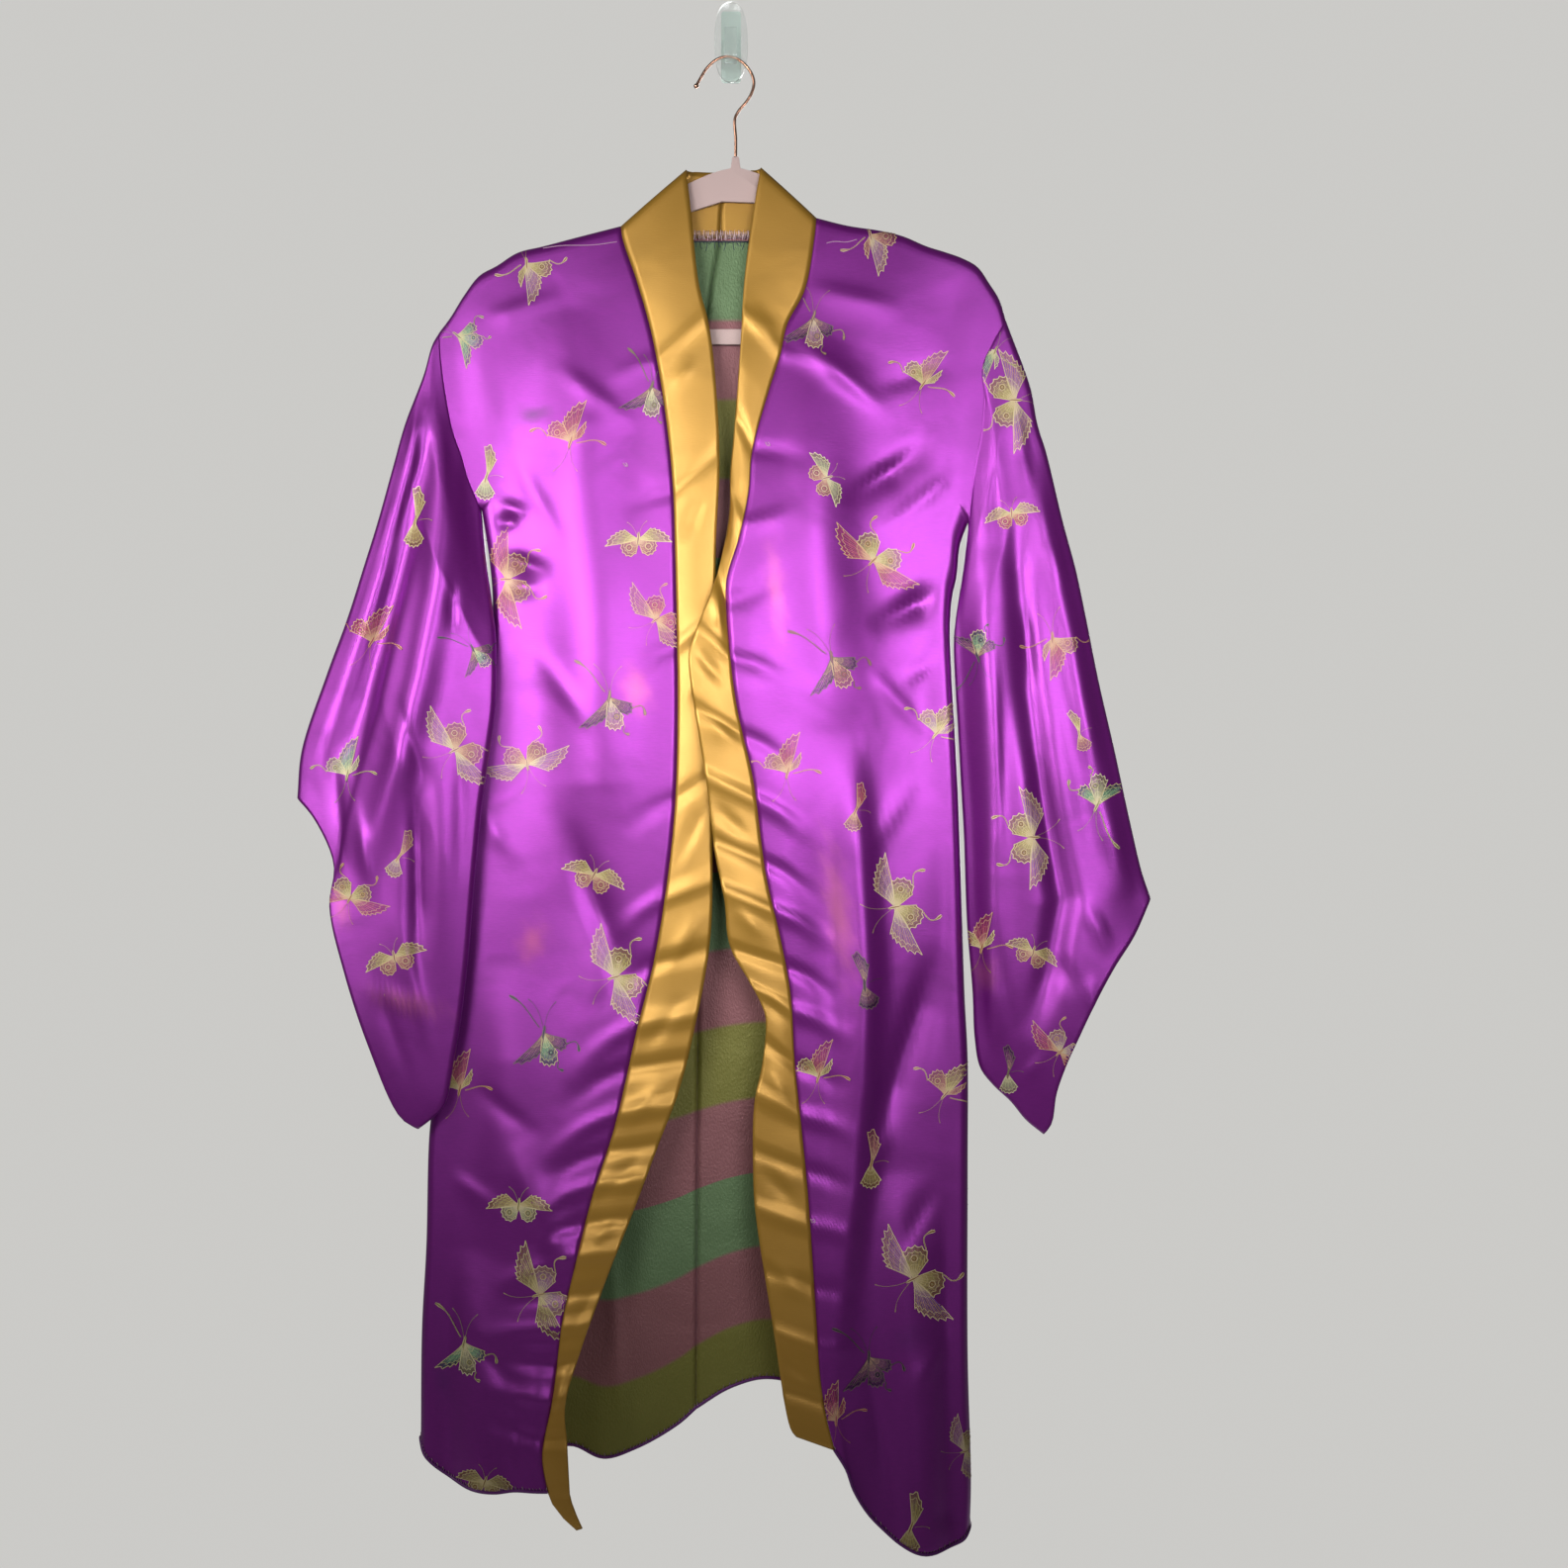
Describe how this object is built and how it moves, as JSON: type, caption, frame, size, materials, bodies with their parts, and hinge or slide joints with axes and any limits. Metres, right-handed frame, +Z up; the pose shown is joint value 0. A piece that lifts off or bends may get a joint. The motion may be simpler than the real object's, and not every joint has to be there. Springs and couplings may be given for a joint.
{
  "type": "kimono robe on a hanger and wall hook",
  "caption": "Kimono-style satin robe with wide sleeves and a long contrasting collar band, hung open on a flat hanger from an adhesive wall hook.",
  "frame": {"origin": "on the wall, in the middle of the width of the adhesive strip's back face, level with the middle of the wall hook's plate", "axes": "+Z up, +Y into the wall, +X to the viewer's right; the robe hangs in front of the wall, towards -Y"},
  "size_m": [0.782, 0.062, 1.4219],
  "materials": {
    "satin": "glossy purple satin brocade with woven butterflies, striped green, pink and chartreuse on the wrong side",
    "gold_satin": "mustard-gold satin with a soft sheen",
    "flock": "blush pink flocking over plastic, matt and velvety",
    "rose_gold_wire": "polished rose-gold plated wire",
    "clear_plastic": "clear glossy plastic",
    "mint_foam": "pale mint adhesive foam strip"
  },
  "bodies": {
    "root": {"front_left": "satin", "front_right": "satin", "back_left": "satin", "back_right": "satin", "sleeve_left": "satin", "sleeve_right": "satin", "band_left": "gold_satin", "band_right": "gold_satin", "hanger": "flock", "hook_wire": "rose_gold_wire", "wall_hook": "clear_plastic", "adhesive_strip": "mint_foam"}
  },
  "joints": []
}
